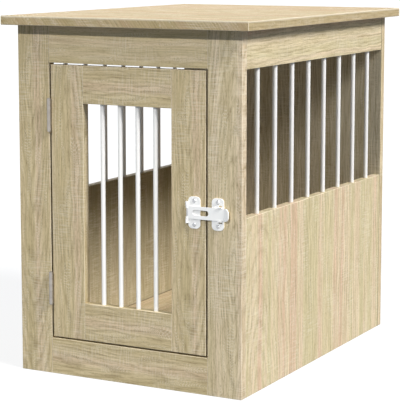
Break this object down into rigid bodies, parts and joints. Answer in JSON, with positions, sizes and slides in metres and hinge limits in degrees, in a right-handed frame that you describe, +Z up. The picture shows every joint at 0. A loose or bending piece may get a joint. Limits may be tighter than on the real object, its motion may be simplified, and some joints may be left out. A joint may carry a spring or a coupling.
{
  "type": "dog crate end table",
  "caption": "Box-shaped wooden pet crate that doubles as an end table, with a barred door on butt hinges, barred side windows and a flip latch.",
  "frame": {"origin": "on the ground under the middle of the table top", "axes": "X to the right as seen from the front, the door faces -Y, Z up"},
  "size_m": [0.45, 0.62, 0.59],
  "materials": {
    "oak_foil_board": "chipboard faced with pale oak grain foil, matt, fine rough-sawn emboss",
    "white_bar": "steel rod, white powder coat, satin",
    "white_latch": "pressed steel, white powder coat, satin",
    "hinge_steel": "rolled steel, nickel plated, satin",
    "fastener_steel": "zinc plated steel",
    "cam_zinc": "die-cast zinc, as cast",
    "dowel_beech": "fluted beech, bare"
  },
  "bodies": {
    "cabinet": {"back_panel": "oak_foil_board", "back_panel_screws": "fastener_steel", "body_dowels": "dowel_beech", "cam_bolts": "fastener_steel", "cam_locks": "cam_zinc", "floor_board": "oak_foil_board", "frame_hinge_screws": "hinge_steel", "front_bottom_rail": "oak_foil_board", "front_left_stile": "oak_foil_board", "front_right_stile": "oak_foil_board", "front_top_rail": "oak_foil_board", "left_lower_panel": "oak_foil_board", "left_side_bar_1": "white_bar", "left_side_bar_2": "white_bar", "left_side_bar_3": "white_bar", "left_side_bar_4": "white_bar", "left_side_bar_5": "white_bar", "left_side_bar_6": "white_bar", "left_side_bar_7": "white_bar", "left_side_bar_8": "white_bar", "left_top_rail": "oak_foil_board", "lower_hinge_frame_leaf": "hinge_steel", "lower_hinge_pin": "hinge_steel", "right_lower_panel": "oak_foil_board", "right_side_bar_1": "white_bar", "right_side_bar_2": "white_bar", "right_side_bar_3": "white_bar", "right_side_bar_4": "white_bar", "right_side_bar_5": "white_bar", "right_side_bar_6": "white_bar", "right_side_bar_7": "white_bar", "right_side_bar_8": "white_bar", "right_top_rail": "oak_foil_board", "strike_plate": "white_latch", "strike_plate_screws": "white_latch", "table_top": "oak_foil_board", "upper_hinge_frame_leaf": "hinge_steel", "upper_hinge_pin": "hinge_steel"},
    "door": {"door_hinge_stile": "oak_foil_board", "door_latch_stile": "oak_foil_board", "door_top_rail": "oak_foil_board", "door_bottom_rail": "oak_foil_board", "door_dowels": "dowel_beech", "door_hinge_screws": "hinge_steel", "upper_hinge_door_leaf": "hinge_steel", "lower_hinge_door_leaf": "hinge_steel", "latch_door_plate": "white_latch", "door_plate_screws": "white_latch", "latch_pivot_pin": "white_latch", "door_bar_1": "white_bar", "door_bar_2": "white_bar", "door_bar_3": "white_bar", "door_bar_4": "white_bar"},
    "hasp": {"latch_hasp": "white_latch"}
  },
  "joints": [
    {"name": "door_swing", "type": "hinge", "parent": "cabinet", "child": "door", "pos_m": [-0.1435, -0.2939, 0.2875], "axis": [0, 0, -1], "range_deg": [0, 180]},
    {"name": "hasp_flip", "type": "hinge", "parent": "door", "child": "hasp", "pos_m": [0.1104, -0.29266, 0.2905], "axis": [0, 0, -1], "range_deg": [0, 170]}
  ]
}
